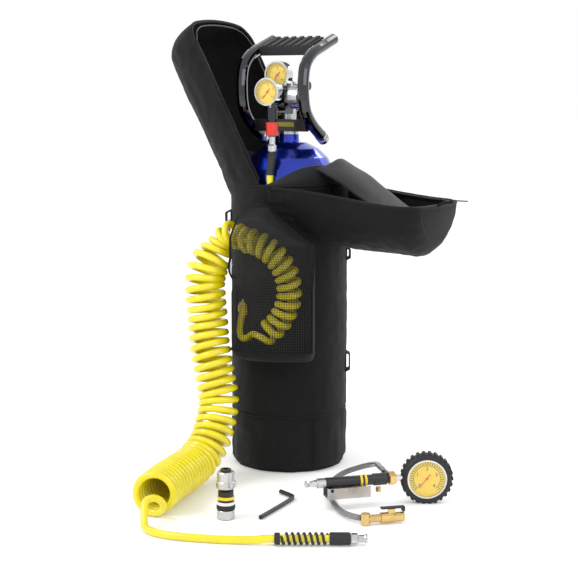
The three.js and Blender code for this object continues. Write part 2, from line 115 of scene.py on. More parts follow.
def make_studio():
    world = DATA.worlds.new("studio")
    world.use_nodes = True
    background = world.node_tree.nodes["Background"]
    background.inputs["Color"].default_value = (1, 1, 1, 1)
    background.inputs["Strength"].default_value = 1.0
    bpy.context.scene.world = world
    bpy.context.scene.view_settings.view_transform = "Standard"
    area_light("key", (-1.2, -1.9, 2.3), (0, 0, 0.4), 1.2, 34)
    area_light("fill", (2.4, -1.2, 1.5), (0, 0, 0.4), 1.6, 14)
    area_light("rim", (0.6, 2.2, 2.2), (0, 0, 0.5), 1.4, 22)
    floor = DATA.meshes.new("floor")
    corners = [(x * FLOOR_HALF, y * FLOOR_HALF, FLOOR_Z) for x, y in ((-1, -1), (1, -1), (1, 1), (-1, 1))]
    floor.from_pydata(corners, [], [(0, 1, 2, 3)])
    ground = DATA.objects.new("floor", floor)
    bpy.context.collection.objects.link(ground)
    material, shader = principled("floor_paper", (0.93, 0.93, 0.93), 0.6)
    shader.inputs["Emission Color"].default_value = (1, 1, 1, 1)
    shader.inputs["Emission Strength"].default_value = 0.12
    floor.materials.append(material)


# ---------------------------------------------------------------- materials
# a wave texture at scale 1 repeats about every 0.314 metres
WAVE_PERIOD = 0.314


def principled(name, color, roughness, metallic=0.0):
    material = DATA.materials.new(name)
    material.use_nodes = True
    shader = material.node_tree.nodes["Principled BSDF"]
    shader.inputs["Base Color"].default_value = (*color, 1)
    shader.inputs["Roughness"].default_value = roughness
    shader.inputs["Metallic"].default_value = metallic
    return material, shader


def node(material, kind, **values):
    made = material.node_tree.nodes.new(kind)
    for key, value in values.items():
        if key in made.inputs:
            made.inputs[key].default_value = value
        else:
            setattr(made, key, value)
    return made


def wire(material, source, target):
    material.node_tree.links.new(source, target)


def coordinates(material, output="Object"):
    return node(material, "ShaderNodeTexCoord").outputs[output]


def vary(material, shader, color_a, color_b, scale, roughness_span=None, coords="Object"):
    """Colour and roughness wander slowly over the surface."""
    cloud = node(material, "ShaderNodeTexNoise", Scale=scale, Detail=5.0)
    wire(material, coordinates(material, coords), cloud.inputs["Vector"])
    ramp = node(material, "ShaderNodeValToRGB")
    ramp.color_ramp.elements[0].position, ramp.color_ramp.elements[1].position = 0.35, 0.68
    ramp.color_ramp.elements[0].color = (*color_a, 1)
    ramp.color_ramp.elements[1].color = (*color_b, 1)
    wire(material, cloud.outputs["Fac"], ramp.inputs["Fac"])
    wire(material, ramp.outputs["Color"], shader.inputs["Base Color"])
    if roughness_span:
        span = node(material, "ShaderNodeMapRange")
        span.inputs["To Min"].default_value, span.inputs["To Max"].default_value = roughness_span
        wire(material, cloud.outputs["Fac"], span.inputs["Value"])
        wire(material, span.outputs["Result"], shader.inputs["Roughness"])


def bump(material, shader, height, strength, distance):
    made = node(material, "ShaderNodeBump", Strength=strength, Distance=distance)
    wire(material, height, made.inputs["Height"])
    wire(material, made.outputs["Normal"], shader.inputs["Normal"])


def woven(name, dark, light, thread, roughness=0.62, sheen=0.03):
    """Plain weave: two crossed bands of threads, thread metres apart, laid out in the piece's UV."""
    material, shader = principled(name, dark, roughness)
    vary(material, shader, dark, light, 9, (roughness - 0.08, roughness + 0.1))
    uv = coordinates(material, "UV")
    heights = []
    for direction in ("X", "Y"):
        wave = node(material, "ShaderNodeTexWave", bands_direction=direction, Scale=WAVE_PERIOD / thread,
                    Distortion=0.4)
        wave.inputs["Detail Scale"].default_value = 2
        wire(material, uv, wave.inputs["Vector"])
        heights.append(wave.outputs["Fac"])
    mix = node(material, "ShaderNodeMath", operation="MAXIMUM")
    wire(material, heights[0], mix.inputs[0])
    wire(material, heights[1], mix.inputs[1])
    bump(material, shader, mix.outputs[0], 0.55, thread * 0.5)
    shader.inputs["Sheen Weight"].default_value = sheen
    shader.inputs["Sheen Roughness"].default_value = 0.45
    shader.inputs["Specular IOR Level"].default_value = 0.16
    return material


def grained(name, color_a, color_b, roughness, grain, strength=0.25, metallic=0.0, coat=0.0):
    """Moulded or cast surface with a fine grain; grain is cells per metre."""
    material, shader = principled(name, color_a, roughness, metallic)
    vary(material, shader, color_a, color_b, 30, (roughness - 0.05, roughness + 0.08))
    cells = node(material, "ShaderNodeTexNoise", Scale=grain, Detail=3.0)
    wire(material, coordinates(material), cells.inputs["Vector"])
    bump(material, shader, cells.outputs["Fac"], strength, 0.0004)
    shader.inputs["Coat Weight"].default_value = coat
    shader.inputs["Coat Roughness"].default_value = 0.08
    return material


def braided(name):
    """Stainless wire braid, crossed diagonal bands in the piece's UV, with painted shade in the gaps between
    the wires.
    """
    material, shader = principled(name, (0.5, 0.5, 0.5), 0.3, 0.9)
    uv = coordinates(material, "UV")
    heights = []
    for lean in (0.8, -0.8):
        turned = node(material, "ShaderNodeMapping")
        turned.inputs["Rotation"].default_value = (0, 0, lean)
        wire(material, uv, turned.inputs["Vector"])
        wave = node(material, "ShaderNodeTexWave", Scale=190.0, Distortion=0.2)
        wire(material, turned.outputs["Vector"], wave.inputs["Vector"])
        heights.append(wave.outputs["Fac"])
    mix = node(material, "ShaderNodeMath", operation="MULTIPLY")
    wire(material, heights[0], mix.inputs[0])
    wire(material, heights[1], mix.inputs[1])
    # painted shade: the base colour falls to dark grey in the grooves between the wires, following the bump's
    # heights
    ramp = node(material, "ShaderNodeValToRGB")
    ramp.color_ramp.elements[0].color = (0.12, 0.12, 0.12, 1)
    ramp.color_ramp.elements[1].color = (0.75, 0.75, 0.74, 1)
    wire(material, mix.outputs[0], ramp.inputs["Fac"])
    wire(material, ramp.outputs["Color"], shader.inputs["Base Color"])
    bump(material, shader, mix.outputs[0], 0.8, 0.0006)
    return material


def dial_face(name):
    """Yellow dial with dark ticks over an arc; the UV has the centre at 0.5 and the rim at radius 0.5."""
    material, shader = principled(name, (0.85, 0.62, 0.03), 0.4)
    centred = node(material, "ShaderNodeVectorMath", operation="SUBTRACT")
    wire(material, coordinates(material, "UV"), centred.inputs[0])
    centred.inputs[1].default_value = (0.5, 0.5, 0)
    radius = node(material, "ShaderNodeVectorMath", operation="LENGTH")
    wire(material, centred.outputs[0], radius.inputs[0])
    parts = node(material, "ShaderNodeSeparateXYZ")
    wire(material, centred.outputs[0], parts.inputs[0])
    angle = node(material, "ShaderNodeMath", operation="ARCTAN2")
    wire(material, parts.outputs["X"], angle.inputs[0])
    wire(material, parts.outputs["Y"], angle.inputs[1])

    def combine(operation, a, b):
        made = node(material, "ShaderNodeMath", operation=operation)
        for socket, value in zip(made.inputs, (a, b)):
            if isinstance(value, (int, float)):
                socket.default_value = value
            else:
                wire(material, value, socket)
        return made.outputs[0]

    away = radius.outputs["Value"]
    spokes = combine("SINE", combine("MULTIPLY", angle.outputs[0], 40.0), 0)
    tick = combine("GREATER_THAN", spokes, 0.55)
    outer = combine("LESS_THAN", away, 0.46)
    inner = combine("GREATER_THAN", away, 0.39)
    sweep = combine("LESS_THAN", combine("ABSOLUTE", angle.outputs[0], 0), 2.4)
    marks = combine("MULTIPLY", combine("MULTIPLY", tick, outer), combine("MULTIPLY", inner, sweep))
    ring = combine("MULTIPLY", combine("LESS_THAN", away, 0.375), combine("GREATER_THAN", away, 0.36))
    ink = combine("MAXIMUM", marks, combine("MULTIPLY", ring, sweep))
    mix = node(material, "ShaderNodeMix", data_type="RGBA")
    mix.inputs["A"].default_value = (0.78, 0.55, 0.008, 1)
    mix.inputs["B"].default_value = (0.03, 0.025, 0.02, 1)
    wire(material, ink, mix.inputs["Factor"])
    wire(material, mix.outputs["Result"], shader.inputs["Base Color"])
    return material


def lens_glass(name):
    material, shader = principled(name, (1, 1, 1), 0.03)
    shader.inputs["Alpha"].default_value = 0.05
    shader.inputs["Specular IOR Level"].default_value = 0.35
    return material


def tank_paint(name):
    """Translucent blue over brushed metal, with a fine flake and a clear coat."""
    material, shader = principled(name, (0.004, 0.022, 0.36), 0.24, 0.9)
    vary(material, shader, (0.003, 0.014, 0.28), (0.008, 0.04, 0.5), 14, (0.16, 0.28))
    flake = node(material, "ShaderNodeTexNoise", Scale=1400.0, Detail=2.0)
    wire(material, coordinates(material), flake.inputs["Vector"])
    bump(material, shader, flake.outputs["Fac"], 0.12, 0.0002)
    shader.inputs["Coat Weight"].default_value = 0.8
    shader.inputs["Coat Roughness"].default_value = 0.06
    return material


def brushed(name, color, roughness, coat=0.0):
    material, shader = principled(name, color, roughness, 1.0)
    darker = tuple(channel * 0.85 for channel in color)
    vary(material, shader, darker, color, 40, (max(roughness - 0.04, 0.03), roughness + 0.06))
    shader.inputs["Coat Weight"].default_value = coat
    return material


M = {
    "nylon": woven("bag_nylon", (0.003, 0.003, 0.0034), (0.006, 0.006, 0.0068), 0.0011),
    "lining": woven("lid_lining", (0.011, 0.0115, 0.013), (0.019, 0.0195, 0.022), 0.0016, 0.5, 0.12),
    "webbing": woven("webbing", (0.005, 0.005, 0.0055), (0.01, 0.01, 0.011), 0.0018, 0.6),
    "net": grained("pocket_net", (0.006, 0.006, 0.0065), (0.011, 0.011, 0.012), 0.6, 900),
    "rubber": grained("black_rubber", (0.006, 0.006, 0.0065), (0.012, 0.012, 0.0125), 0.55, 1200),
    "plastic": grained("black_plastic", (0.005, 0.005, 0.0055), (0.009, 0.009, 0.0095), 0.32, 700, 0.1,
                       0.0, 0.15),
    "black_chrome": brushed("black_chrome", (0.035, 0.037, 0.043), 0.07, 0.7),
    "chrome": brushed("chrome", (0.72, 0.73, 0.75), 0.12),
    "silver": brushed("satin_silver", (0.6, 0.6, 0.61), 0.27),
    "brass": brushed("brass", (0.72, 0.5, 0.2), 0.24),
    "blue": tank_paint("tank_blue"),
    "hose": grained("yellow_hose", (0.74, 0.62, 0.004), (0.8, 0.69, 0.007), 0.22, 260, 0.06, 0.0, 0.5),
    "red": grained("red_anodised", (0.6, 0.02, 0.012), (0.72, 0.03, 0.02), 0.24, 900, 0.05, 0.3, 0.6),
    "yellow": grained("yellow_band", (0.75, 0.52, 0.02), (0.8, 0.58, 0.03), 0.4, 900),
    "white": grained("white_plastic", (0.7, 0.7, 0.68), (0.78, 0.78, 0.76), 0.4, 900),
    "olive": grained("label_band", (0.22, 0.2, 0.02), (0.3, 0.27, 0.03), 0.4, 900),
    "braid": braided("steel_braid"),
    "dial": dial_face("gauge_dial"),
    "lens": lens_glass("gauge_lens"),
    "steel": grained("black_oxide_steel", (0.012, 0.012, 0.013), (0.025, 0.025, 0.027), 0.38, 900, 0.08, 0.5),
}


# ---------------------------------------------------------------- mesh helpers
def link(name, mesh, material, body, smooth=True):
    piece = DATA.objects.new(name, mesh)
    bpy.context.collection.objects.link(piece)
    mesh.materials.append(M[material])
    if smooth:
        mesh.polygons.foreach_set("use_smooth", [True] * len(mesh.polygons))
    if body:
        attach(piece, body)
    return piece


def grid_mesh(name, columns, rows, place, close_columns=False, uv=None):
    """A sheet of columns by rows faces; place(u, v) gives each corner, uv(u, v) its texture place."""
    mesh = DATA.meshes.new(name)
    bm = bmesh.new()
    across = columns if close_columns else columns + 1
    corners = [[bm.verts.new(place(i / columns, j / rows)) for i in range(across)] for j in range(rows + 1)]
    layer = bm.loops.layers.uv.new("UVMap")
    for j in range(rows):
        for i in range(columns):
            k = (i + 1) % across if close_columns else i + 1
            face = bm.faces.new((corners[j][i], corners[j][k], corners[j + 1][k], corners[j + 1][i]))
            spots = ((i, j), (i + 1, j), (i + 1, j + 1), (i, j + 1))
            for loop, (a, b) in zip(face.loops, spots):
                loop[layer].uv = uv(a / columns, b / rows) if uv else (a / columns, b / rows)
    bm.to_mesh(mesh)
    bm.free()
    return mesh


def modifier(piece, kind, **values):
    made = piece.modifiers.new(kind.lower(), kind)
    for key, value in values.items():
        setattr(made, key, value)
    return made


def thicken(piece, thickness, offset=-1.0):
    modifier(piece, "SOLIDIFY", thickness=thickness, offset=offset, use_quality_normals=True)


def bake_modifiers(piece):
    """Applies every modifier, so the piece holds its finished mesh."""
    bpy.context.view_layer.update()
    graph = bpy.context.evaluated_depsgraph_get()
    finished = DATA.meshes.new_from_object(piece.evaluated_get(graph))
    piece.modifiers.clear()
    piece.data = finished


def lathe(name, profile, material, body, place=None, sides=64, crease_angle=0.6):
    """A turned piece about its own Z; profile is (radius, z) pairs in millimetres, place is in metres."""
    mesh = DATA.meshes.new(name)
    bm = bmesh.new()
    rings = []
    for radius, z in profile:
        if radius < 1e-6:
            rings.append([bm.verts.new((0, 0, z * MM))])
            continue
        rings.append([bm.verts.new((radius * MM * math.cos(2 * math.pi * i / sides),
                                    radius * MM * math.sin(2 * math.pi * i / sides), z * MM))
                      for i in range(sides)])
    for low, high in zip(rings, rings[1:]):
        for i in range(sides):
            k = (i + 1) % sides
            if len(low) == 1 and len(high) == 1:
                continue
            if len(low) == 1:
                bm.faces.new((low[0], high[i], high[k]))
            elif len(high) == 1:
                bm.faces.new((low[k], low[i], high[0]))
            else:
                bm.faces.new((low[i], low[k], high[k], high[i]))
    bmesh.ops.recalc_face_normals(bm, faces=bm.faces)
    if place is not None:
        bm.transform(place)
    bm.to_mesh(mesh)
    bm.free()
    piece = link(name, mesh, material, body)
    soften(piece, crease_angle)
    return piece


def soften(piece, angle=0.6):
    """Smooth shading that keeps edges sharper than angle crisp."""
    bm = bmesh.new()
    bm.from_mesh(piece.data)
    for edge in bm.edges:
        if len(edge.link_faces) == 2 and edge.calc_face_angle(0) > angle:
            edge.smooth = False
    bm.to_mesh(piece.data)
    bm.free()


def spline(points, per_span=10):
    """Centripetal Catmull-Rom through the points."""
    ends = [points[0] * 2 - points[1], *points, points[-1] * 2 - points[-2]]
    line = []
    for i in range(1, len(ends) - 2):
        p = ends[i - 1:i + 3]
        t = [0.0]
        for a, b in zip(p, p[1:]):
            t.append(t[-1] + max((b - a).length, 1e-9) ** 0.5)
        for step in range(per_span):
            s = t[1] + (t[2] - t[1]) * step / per_span

            def mix(a, b, ta, tb):
                return a * ((tb - s) / (tb - ta)) + b * ((s - ta) / (tb - ta))

            a1, a2, a3 = (mix(p[k], p[k + 1], t[k], t[k + 1]) for k in range(3))
            b1, b2 = mix(a1, a2, t[0], t[2]), mix(a2, a3, t[1], t[3])
            line.append(mix(b1, b2, t[1], t[2]))
    return [*line, points[-1].copy()]


def lengths_along(line):
    total = [0.0]
    for a, b in zip(line, line[1:]):
        total.append(total[-1] + (b - a).length)
    return total


def transported(line):
    """A sideways vector at each point of the line, turned no more than the line itself turns."""
    last = len(line) - 1
    tangents = [(line[min(i + 1, last)] - line[max(i - 1, 0)]).normalized() for i in range(last + 1)]
    side = tangents[0].orthogonal().normalized()
    sides = []
    for tangent in tangents:
        side = (side - tangent * side.dot(tangent)).normalized()
        sides.append(side.copy())
    return tangents, sides


def tube_mesh(name, line, radius, sides=16):
    """A capped tube along the line, with its UV in metres."""
    tangents, across = transported(line)
    along = lengths_along(line)
    count = len(line) - 1

    def place(u, v):
        i = min(round(v * count), count)
        turn = 2 * math.pi * u
        up = tangents[i].cross(across[i])
        return line[i] + (across[i] * math.cos(turn) + up * math.sin(turn)) * radius

    def uv(u, v):
        i = min(round(v * count), count)
        return (u * 2 * math.pi * radius, along[i])

    mesh = grid_mesh(name, sides, count, place, True, uv)
    bm = bmesh.new()
    bm.from_mesh(mesh)
    bmesh.ops.holes_fill(bm, edges=[e for e in bm.edges if e.is_boundary])
    bmesh.ops.recalc_face_normals(bm, faces=bm.faces)
    bm.to_mesh(mesh)
    bm.free()
    return mesh


def tube(name, points, radius, material, body, sides=16, per_span=8):
    piece = link(name, tube_mesh(name, spline(points, per_span), radius, sides), material, body)
    soften(piece, 0.9)
    return piece


def solid_box(name, size, material, body, place, bevel=0.0008, segments=3):
    mesh = DATA.meshes.new(name)
    bm = bmesh.new()
    bmesh.ops.create_cube(bm, size=1, matrix=Matrix.Diagonal((*size, 1)))
    bmesh.ops.bevel(bm, geom=bm.edges[:], offset=bevel, segments=segments, affect="EDGES", profile=0.5)
    bm.transform(place)
    bm.to_mesh(mesh)
    bm.free()
    piece = link(name, mesh, material, body)
    soften(piece, 0.5)
    return piece


def joined(name, pieces):
    """Makes one piece of several; they ride on the first one's body."""
    first = pieces[0]
    bm = bmesh.new()
    materials = []
    for piece in pieces:
        start = len(bm.faces)
        bm.from_mesh(piece.data)
        bm.faces.ensure_lookup_table()
        material = piece.data.materials[0]
        if material not in materials:
            materials.append(material)
        for face in bm.faces[start:]:
            face.material_index = materials.index(material)
    bm.to_mesh(first.data)
    bm.free()
    first.data.materials.clear()
    for material in materials:
        first.data.materials.append(material)
    for piece in pieces[1:]:
        DATA.objects.remove(piece)
    first.name = name
    return first


def toward(origin, direction):
    """Matrix that stands a +Z piece at origin, along direction."""
    turn = Vector((0, 0, 1)).rotation_difference(Vector(direction).normalized())
    return Matrix.Translation(origin) @ turn.to_matrix().to_4x4()


def v(x, y, z):
    """A point given in millimetres."""
    return Vector((x, y, z)) * MM


def polar(radius, angle, z):
    return v(radius * math.cos(math.radians(angle)), radius * math.sin(math.radians(angle)), z)


def laid(along, out, z):
    """A point in the turned layout of the floor pieces: along to the right, out to the front, millimetres."""
    c, s = math.cos(LAYOUT_TURN), math.sin(LAYOUT_TURN)
    return v(along * c + out * s, along * s - out * c, z)


LAYOUT = Matrix.Rotation(LAYOUT_TURN, 4, "Z")

# ---------------------------------------------------------------- CAD parts' own materials
CAD_LOOKS = {
    "blue": ["gas_cylinder"],
    "silver": ["cylinder_valve", "regulator_bonnet", "rail_cap_left", "rail_cap_right", "hose_plug",
               "inflator_plug", "inflator_lever", "spare_coupler_sleeve", "hose_end_fitting", "d_ring"],
    "black_chrome": ["regulator_body", "outlet_coupler", "rail_left", "rail_right", "zip_pull"],
    "chrome": ["low_gauge_case", "high_gauge_case", "inflator_gauge_case"],
    "rubber": ["carry_grip", "hose_inlet_relief", "hose_end_relief", "inflator_gauge_boot", "base_pad",
               "valve_handwheel", "chuck_lever"],
    "plastic": ["base_bracket", "bleed_knob", "spare_coupler_body", "inflator_body"],
    "red": ["coupler_sleeve", "low_gauge_needle", "high_gauge_needle", "inflator_gauge_needle"],
    "lens": ["low_gauge_lens", "high_gauge_lens", "inflator_gauge_lens"],
    "brass": ["tyre_chuck", "bleed_button", "hose_eyelet"],
    "webbing": ["strap_loop", "side_tab_upper", "side_tab_lower"],
    "nylon": ["bag_body", "bottom_band", "left_lid", "right_lid", "right_lid_fold"],
    "yellow": ["low_gauge_dial", "high_gauge_dial", "inflator_gauge_dial"],
    "net": ["mesh_pocket"],
    "hose": ["hose_lead", "pocket_coil", "hanging_coil", "hose_tail"],
    "braid": ["braided_hose"],
    "steel": ["hex_key"],
}


def paint_cad():
    for look, names in CAD_LOOKS.items():
        for name in names:
            part = DATA.objects[name]
            for slot in part.material_slots:
                slot.material = M[look]
            if not part.material_slots:
                part.data.materials.append(M[look])


# ---------------------------------------------------------------- cords
def cord_curve(name, line, diameter, material):
    curve = DATA.curves.new(name, "CURVE")
    curve.dimensions = "3D"
    curve.bevel_depth = diameter / 2
    curve.bevel_resolution = 5
    curve.use_fill_caps = True
    strand = curve.splines.new("POLY")
    strand.points.add(len(line) - 1)
    strand.points.foreach_set("co", [value for point in line for value in (*point, 1)])
    strand.use_smooth = True
    curve.materials.append(M[material])
    cord = DATA.objects.new(name, curve)
    bpy.context.collection.objects.link(cord)
    return cord


def helix(line, radius_at, pitch_at, ease=0.05, start=0.0, steps=22):
    """A helix about the line; radius_at and pitch_at take metres along it. Its radius eases in and out."""
    tangents, across = transported(line)
    along = lengths_along(line)
    total = along[-1]
    points, phase, place, i = [], start, 0.0, 0
    while place < total:
        while i < len(along) - 2 and along[i + 1] < place:
            i += 1
        blend = (place - along[i]) / max(along[i + 1] - along[i], 1e-9)
        centre = line[i].lerp(line[i + 1], blend)
        side = across[i].lerp(across[i + 1], blend)
        tangent = tangents[i].lerp(tangents[i + 1], blend).normalized()
        side = (side - tangent * side.dot(tangent)).normalized()
        up = tangent.cross(side)
        size = radius_at(place) * smooth(min(place / ease, (total - place) / ease, 1))
        points.append(centre + (side * math.cos(phase) + up * math.sin(phase)) * size)
        phase += 2 * math.pi / steps
        place += pitch_at(place) / steps
    points.append(line[-1].copy())
    return points


def smooth(t):
    """Eases 0 to 1 with level ends."""
    t = min(max(t, 0), 1)
    return t * t * (3 - 2 * t)


def share(t, low, high):
    """How far t is from low to high, held within 0 and 1."""
    return min(max((t - low) / (high - low), 0), 1)


def resampled(points, spacing):
    """The same line with its points an even spacing apart."""
    along = lengths_along(points)
    count = max(int(along[-1] / spacing), 2)
    result, i = [], 0
    for step in range(count + 1):
        place = along[-1] * step / count
        while i < len(along) - 2 and along[i + 1] < place:
            i += 1
        blend = (place - along[i]) / max(along[i + 1] - along[i], 1e-9)
        result.append(points[i].lerp(points[i + 1], min(blend, 1)))
    return result


def hose_route():
    """Points of the hose's axis: the lead, the pocket's ring, the hanging run, the floor run and the tail."""
    lead = [v(14, -93.3, 550.9), v(14, -93.3, 546), polar(95.6, -81, 530), polar(95.7, -84, 500),
            polar(95.7, -90, 460), polar(95.7, -98, 422), polar(95.8, -106, 384), polar(96.8, -110.5, 350),
            polar(102, -112, 320), polar(111, -111, 295), polar(122, -107.5, 273), polar(132, -102.2, 258)]
    ring = []
    ring_size, from_axis = 92, 136
    for step in range(9):
        angle = math.radians(272 + 22.25 * step)
        side, height = -20 + ring_size * math.cos(angle), 345 + ring_size * math.sin(angle)
        ring.append(polar(from_axis, -90 + math.degrees(side / from_axis), height))
    ring += [polar(137, -108, 446), polar(139, -116, 437), v(-75, -128.5, 416)]
    hanging = [v(-77, -131, 410), v(-87, -143, 386), v(-92, -149, 360), v(-89, -152, 328), v(-84, -153, 287),
               v(-78, -158, 249), v(-69, -162, 213), v(-60, -164, 176), v(-51, -169, 140), v(-48, -184, 106),
               v(-47, -206, 74), v(-50, -234, 49), v(-48, -266, 40)]
    floor = [v(-48, -266, 40), laid(-190, 250, 39), laid(-212, 320, 39), laid(-235, 416, 39)]
    tail = [laid(-232, 448, 6.5), laid(-217, 470, 6.5), laid(-196, 485, 6.5), laid(-170, 495, 6.5),
            laid(-142, 502, 6.5), laid(-112, 508, 6.5), laid(-82, 512, 6.8), laid(-55, 516, 8.3),
            laid(-36, 517, 10.2), laid(-24, 517, 10.5), laid(20, 517, 10.5), laid(70, 517, 10.5)]
    return lead, ring, hanging, floor, tail


def make_air_hose():
    lead, ring, hanging, floor, tail = hose_route()
    lead_line = spline([*lead, ring[0]], 6)
    axis = resampled(spline([*ring, *hanging, *floor[1:]], 12), 0.004)
    in_pocket = lengths_along(spline(ring, 12))[-1]
    on_floor = in_pocket + lengths_along(spline(hanging, 12))[-1]
    whole = lengths_along(axis)[-1]

    def radius_at(place):
        opened = smooth(share(place, in_pocket - 0.02, in_pocket + 0.03))
        return POCKET_COIL_RADIUS + (FREE_COIL_RADIUS - POCKET_COIL_RADIUS) * opened

    def pitch_at(place):
        if place < COIL_END or place > whole - COIL_END:
            return END_PITCH
        if place < in_pocket:
            return COIL_PITCH
        return COIL_PITCH - FLOOR_PITCH_DROP * smooth(share(place, on_floor - 0.02, on_floor + 0.01))

    coils = helix(axis, radius_at, pitch_at, COIL_END)
    line = [*lead_line[:-1], *coils[:-1], *spline([floor[-1], *tail], 8)]
    line = settle(line, HOSE_RADIUS)
    hose = cord_curve("air_hose", line, 2 * HOSE_RADIUS, "hose")
    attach(hose, "pack")
    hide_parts("hose_lead", "pocket_coil", "hanging_coil", "hose_tail")
    tuple(line[0])


def settle(line, radius):
    """Rounds off the joins, which shrinks each coil by about 4%, and keeps the cord on the floor."""
    smoothed = [point.copy() for point in line]
    for _ in range(2):
        middle = [(a + b * 2 + c) / 4 for a, b, c in zip(smoothed, smoothed[1:], smoothed[2:])]
        smoothed = [smoothed[0], *middle, smoothed[-1]]
    for point in smoothed:
        point.z = max(point.z, radius)
    return smoothed


def make_braided_hose():
    route = [laid(166.3, 271.9, 47), laid(164.1, 252, 47), laid(160, 225, 45), laid(158, 190, 40),
             laid(149, 155, 30), laid(130, 133, 19), laid(106, 133, 11), laid(87, 155, 6.5),
             laid(76, 195, 5.3), laid(72, 245, 5.3), laid(74, 295, 5.3), laid(82, 340, 5.3),
             laid(94, 375, 6.5), laid(108, 399, 8.8), laid(119, 410.5, 10)]
    line = spline(route, 10)
    hose = cord_curve("braided_hose_wire", line, BRAIDED_DIAMETER, "braid")
    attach(hose, "inflator")
    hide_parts("braided_hose")
    tuple(line[0])


# ---------------------------------------------------------------- bag, lids and pocket
def ripple(x, y, z, scale, seed=0.0):
    """Steady noise about zero, scale cells per metre; it draws nothing random."""
    return noise.noise(Vector((x * scale + seed, y * scale, z * scale)))


def bag_wall(angle, z):
    """Outer radius of the bag's side: upright folds, a slacker band near the base and a pinch at its seam."""
    x, y = BAG_RADIUS * math.cos(angle), BAG_RADIUS * math.sin(angle)
    body = 0.0011 * ripple(x, y, z * 0.35, 26) + 0.0009 * ripple(x, y, z, 55, 3)
    band = 0.0026 * ripple(x, y, z * 0.3, 48, 7) + 0.0014 * ripple(x * 0.5, y * 0.5, z, 60, 11)
    low = smooth(share(z, BAND_TOP + 0.012, BAND_TOP - 0.012))
    pinch = 0.0016 * math.exp(-((z - BAND_TOP) / 0.0028) ** 2)
    puff = 0.0012 * math.exp(-((z - BAND_TOP + 0.016) / 0.012) ** 2)
    return BAG_RADIUS + 0.0012 + body * (1 - low) + band * low + puff - pinch


def make_bag():
    """The bag's skin: up the outside, over the rim and down the inside to the floor of the bag."""
    foot_round, underside, inner_floor, wall = 0.014, 0.0012, 0.0045, 0.003
    heights = [0.0005, 0.0035, 0.008, foot_round]
    heights += [foot_round + 0.006 * i for i in range(1, 86)] + [0.5285]
    inner = [0.531, 0.526, 0.4, 0.2, inner_floor]

    def profile(index, angle):
        if index < len(heights):
            z = heights[index]
            inset = 0.007 * (1 - smooth(share(z, 0, foot_round)))
            return bag_wall(angle, z) - inset, z
        return BAG_RADIUS - wall, inner[index - len(heights)]

    total = len(heights) + len(inner)

    def place(u, v_share):
        index = round(v_share * (total + 1))
        angle = 2 * math.pi * u
        if index == 0:
            return (0, 0, underside)
        if index == total + 1:
            return (0, 0, inner_floor)
        radius, z = profile(index - 1, angle)
        return (radius * math.cos(angle), radius * math.sin(angle), z)

    def uv(u, v_share):
        return (u * 2 * math.pi * BAG_RADIUS, v_share * 1.1)

    mesh = grid_mesh("bag_shell", 192, total + 1, place, True, uv)
    weld(mesh)
    bag = link("bag_shell", mesh, "nylon", "pack")
    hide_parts("bag_body", "bottom_band")


def weld(mesh):
    bm = bmesh.new()
    bm.from_mesh(mesh)
    bmesh.ops.remove_doubles(bm, verts=bm.verts, dist=0.00001)
    bmesh.ops.recalc_face_normals(bm, faces=bm.faces)
    bm.to_mesh(mesh)
    bm.free()


def around(radius, angle, z):
    """The point at this radius and angle in degrees, in metres."""
    turn = math.radians(angle)
    return Vector((radius * math.cos(turn), radius * math.sin(turn), z))


def on_bag(angle, z, lift=0.0):
    return around(bag_wall(math.radians(angle), z) + lift, angle, z)


def make_bag_seams():
    for index, angle in enumerate((-35, 62, 150)):
        points = [on_bag(angle, z / 1000, 0.0004) for z in range(6, 104, 6)]
        tube(f"band_seam_{index}", points, 0.0011, "nylon", "pack", 8, 3)
    for index, angle in enumerate((30, 178)):
        points = [on_bag(angle, z / 1000, 0.0002) for z in range(110, 526, 8)]
        tube(f"side_seam_{index}", points, 0.0013, "nylon", "pack", 8, 3)
    ring = [on_bag(angle, BAND_TOP, 0.0006) for angle in range(0, 361, 5)]
    tube("band_binding", ring, 0.0017, "webbing", "pack", 10, 3)
    rim = [around(0.1063, angle, 0.531) for angle in range(0, 361, 5)]
    tube("rim_binding", rim, 0.0027, "webbing", "pack", 10, 3)


def collar_height(x):
    """The collar rises under the leaning left lid at x below 0, and under the folded right lid above it."""
    if x < 0:
        return 0.53 * -x + 0.003
    return 0.003 + FOLD_HEIGHT * smooth(x / 0.09)


def make_collar():
    """The lining that stands up inside the rim, between the bag and its lids."""
    def place(u, v_share):
        angle = 2 * math.pi * u
        x = 0.104 * math.cos(angle)
        height = collar_height(x) * v_share
        bow = 0.0035 * math.sin(math.pi * v_share) * (1 if x > 0 else 0.3)
        inward = 0.006 * smooth(height / 0.012) if x < 0 else 0
        radius = 0.1035 - inward + bow + 0.0015 * ripple(x, math.sin(angle), height, 9, 5)
        return (radius * math.cos(angle), radius * math.sin(angle), 0.524 + 0.006 * v_share + height)

    mesh = grid_mesh("rim_collar", 144, 12, place, True, lambda u, w: (u * 0.65, w * 0.05))
    collar = link("rim_collar", mesh, "lining", "pack")
    thicken(collar, 0.0035)
    modifier(collar, "SUBSURF", levels=1, render_levels=1)
    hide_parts("right_lid_fold")


def lid_profile(w):
    """Radius and height of the lid's wall, w from 0 at the hinge to 1 at the crown's centre."""
    straight = LID_LENGTH - LID_CORNER
    arc = LID_CORNER * math.pi / 2
    flat = BAG_RADIUS - LID_CORNER
    place = w * (straight + arc + flat)
    if place < straight:
        return BAG_RADIUS, place
    if place < straight + arc:
        turn = (place - straight) / LID_CORNER
        return flat + LID_CORNER * math.cos(turn), straight + LID_CORNER * math.sin(turn)
    return max(straight + arc + flat - place, 0.0005), LID_LENGTH


